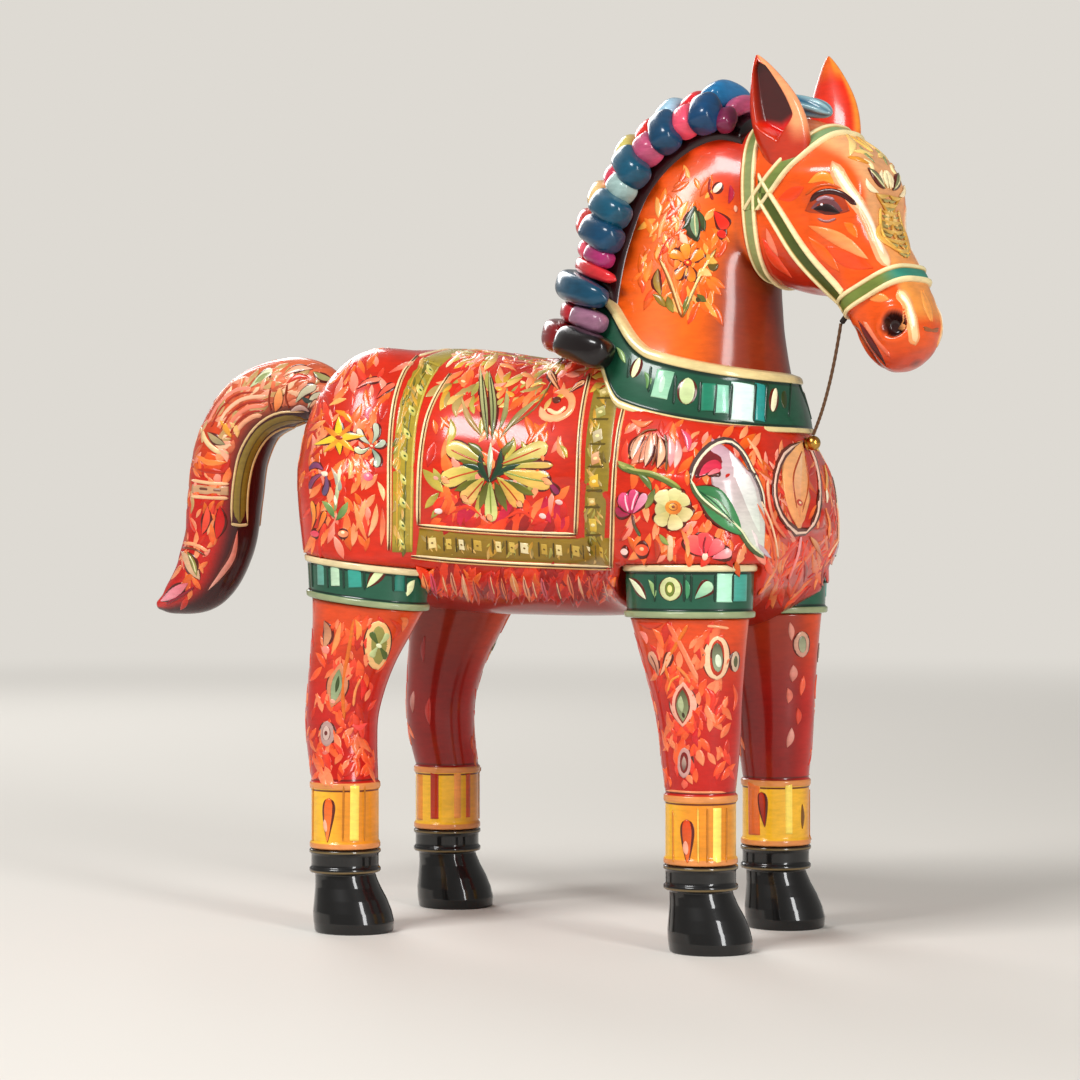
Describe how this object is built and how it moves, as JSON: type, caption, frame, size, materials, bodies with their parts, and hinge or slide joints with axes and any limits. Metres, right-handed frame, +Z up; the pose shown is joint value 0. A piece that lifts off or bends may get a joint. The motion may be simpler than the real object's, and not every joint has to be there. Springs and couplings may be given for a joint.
{
  "type": "horse figurine",
  "caption": "Hand-painted wooden horse figurine standing square, head turned a little, with saddle cloth, collar, bridle, rolled mane locks and curved tail.",
  "frame": {"origin": "on the ground under the middle of the figure's bounding box", "axes": "+X out of the chest, +Y to the horse's left, +Z up"},
  "size_m": [0.2558, 0.0916, 0.25],
  "materials": {
    "red_lacquer": "glossy red lacquer with painted flowers",
    "orange_lacquer": "glossy orange lacquer",
    "green_lacquer": "glossy dark green lacquer with painted borders",
    "black_lacquer": "glossy black lacquer",
    "tail_lacquer": "glossy red and peach lacquer with painted bands",
    "mane_blue_lacquer": "glossy blue lacquer",
    "mane_bead_lacquer": "glossy pink, red and cream lacquer",
    "mane_dark_lacquer": "dark maroon lacquer",
    "forelock_lacquer": "glossy grey-blue lacquer",
    "bare_wood": "bare",
    "bridle_leather": "painted green with gold edges",
    "gilt_paste": "raised gilt filigree",
    "knob_brass": "polished",
    "staple_iron": "dark",
    "lead_cord": "twisted dark brown cord"
  },
  "bodies": {
    "root": {"torso": "red_lacquer", "neck": "orange_lacquer", "neck_collar": "green_lacquer", "head": "orange_lacquer", "neck_dowel": "bare_wood", "head_dowel": "bare_wood", "leg_front_right": "red_lacquer", "leg_band_front_right": "green_lacquer", "hoof_front_right": "black_lacquer", "leg_dowel_front_right": "bare_wood", "leg_front_left": "red_lacquer", "leg_band_front_left": "green_lacquer", "hoof_front_left": "black_lacquer", "leg_dowel_front_left": "bare_wood", "leg_rear_right": "red_lacquer", "leg_band_rear_right": "green_lacquer", "hoof_rear_right": "black_lacquer", "leg_dowel_rear_right": "bare_wood", "leg_rear_left": "red_lacquer", "leg_band_rear_left": "green_lacquer", "hoof_rear_left": "black_lacquer", "leg_dowel_rear_left": "bare_wood", "ear_right": "orange_lacquer", "cheek_strap_right": "bridle_leather", "ear_left": "orange_lacquer", "cheek_strap_left": "bridle_leather", "throat_latch": "bridle_leather", "browband": "bridle_leather", "noseband": "bridle_leather", "face_relief": "gilt_paste", "forelock": "forelock_lacquer", "mane_bed": "mane_dark_lacquer", "mane_end_tuft": "mane_dark_lacquer", "mane_beads_1": "mane_bead_lacquer", "mane_lock_1": "mane_blue_lacquer", "mane_lock_2": "mane_bead_lacquer", "mane_beads_2": "mane_bead_lacquer", "mane_lock_3": "mane_blue_lacquer", "mane_lock_4": "mane_blue_lacquer", "mane_beads_3": "mane_bead_lacquer", "mane_lock_5": "mane_blue_lacquer", "mane_beads_4": "mane_bead_lacquer", "mane_lock_6": "mane_blue_lacquer", "mane_beads_5": "mane_bead_lacquer", "mane_lock_7": "mane_blue_lacquer", "mane_beads_6": "mane_bead_lacquer", "tail": "tail_lacquer", "chest_knob": "knob_brass", "chin_staple": "staple_iron", "lead_cord": "lead_cord"}
  },
  "joints": []
}
